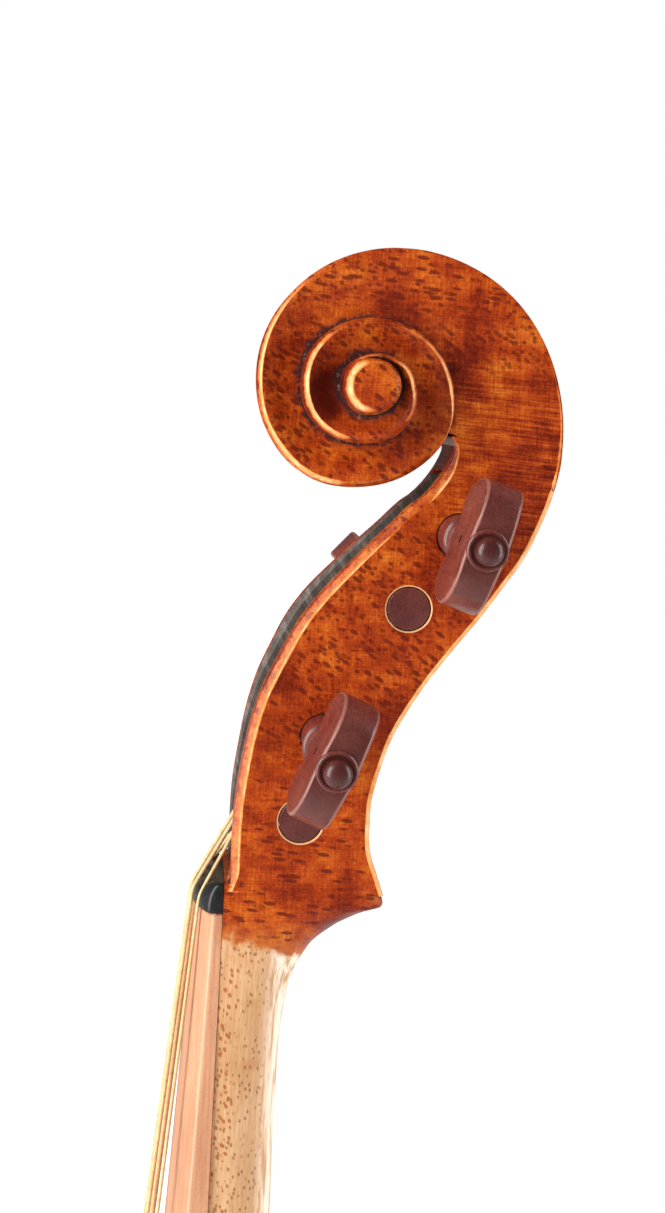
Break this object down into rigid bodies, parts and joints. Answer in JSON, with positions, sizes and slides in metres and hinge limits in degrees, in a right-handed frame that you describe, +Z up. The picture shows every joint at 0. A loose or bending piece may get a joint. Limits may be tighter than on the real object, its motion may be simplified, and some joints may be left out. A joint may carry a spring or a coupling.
{
  "type": "viola",
  "caption": "Baroque viola with a carved scroll, turning pegs with heart-shaped heads, gut strings, a short wedge fingerboard, a low bridge and an arched wooden body.",
  "frame": {"origin": "the underside of the scroll's volute by the throat, where the hook that holds the instrument touches it", "axes": "+Z up the neck to the scroll, +Y to the back of the instrument, +X to the treble side"},
  "size_m": [0.24, 0.1044, 0.6848],
  "materials": {
    "varnished_maple": "worn orange-brown varnish over figured maple",
    "varnished_spruce": "orange-brown varnish over straight-grained spruce",
    "bare_wood": "bare, unvarnished",
    "fingerboard_wood": "plain pale wood, smooth",
    "black_wood": "polished black",
    "peg_wood": "matte reddish brown",
    "bridge_wood": "bare maple, toned",
    "gut": "golden twisted gut",
    "iron": "dark forged iron"
  },
  "bodies": {
    "instrument": {"neck_and_scroll": "varnished_maple", "nut": "black_wood", "fingerboard": "fingerboard_wood", "string_c": "gut", "string_g": "gut", "string_d": "gut", "string_a": "gut", "belly_treble": "varnished_spruce", "belly_bass": "varnished_spruce", "back_treble": "varnished_maple", "back_bass": "varnished_maple", "rib_upper_treble": "varnished_maple", "rib_upper_bass": "varnished_maple", "rib_waist_treble": "varnished_maple", "rib_waist_bass": "varnished_maple", "rib_lower_treble": "varnished_maple", "rib_lower_bass": "varnished_maple", "top_block": "bare_wood", "bottom_block": "bare_wood", "corner_block_upper_treble": "bare_wood", "corner_block_upper_bass": "bare_wood", "corner_block_lower_treble": "bare_wood", "corner_block_lower_bass": "bare_wood", "lining_belly_upper_treble": "bare_wood", "lining_belly_upper_bass": "bare_wood", "lining_belly_waist_treble": "bare_wood", "lining_belly_waist_bass": "bare_wood", "lining_belly_lower_treble": "bare_wood", "lining_belly_lower_bass": "bare_wood", "lining_back_upper_treble": "bare_wood", "lining_back_upper_bass": "bare_wood", "lining_back_waist_treble": "bare_wood", "lining_back_waist_bass": "bare_wood", "lining_back_lower_treble": "bare_wood", "lining_back_lower_bass": "bare_wood", "bass_bar": "bare_wood", "sound_post": "bare_wood", "neck_nail_1": "iron", "neck_nail_2": "iron", "neck_nail_3": "iron", "bridge": "bridge_wood", "tailpiece": "black_wood", "tail_gut": "gut", "saddle": "black_wood", "end_button": "black_wood"},
    "c_peg": {"peg_c": "peg_wood", "winding_c": "gut"},
    "a_peg": {"peg_a": "peg_wood", "winding_a": "gut"},
    "g_peg": {"peg_g": "peg_wood", "winding_g": "gut"},
    "d_peg": {"peg_d": "peg_wood", "winding_d": "gut"}
  },
  "joints": [
    {"name": "peg_c_turn", "type": "hinge", "parent": "instrument", "child": "c_peg", "pos_m": [0, -0.02111, -0.07], "axis": [-1, 0, 0], "continuous": true},
    {"name": "peg_a_turn", "type": "hinge", "parent": "instrument", "child": "a_peg", "pos_m": [0, -0.0176, -0.05346], "axis": [-1, 0, 0], "continuous": true},
    {"name": "peg_g_turn", "type": "hinge", "parent": "instrument", "child": "g_peg", "pos_m": [0, -0.00254, -0.02829], "axis": [-1, 0, 0], "continuous": true},
    {"name": "peg_d_turn", "type": "hinge", "parent": "instrument", "child": "d_peg", "pos_m": [0, 0.00646, -0.01392], "axis": [-1, 0, 0], "continuous": true}
  ]
}
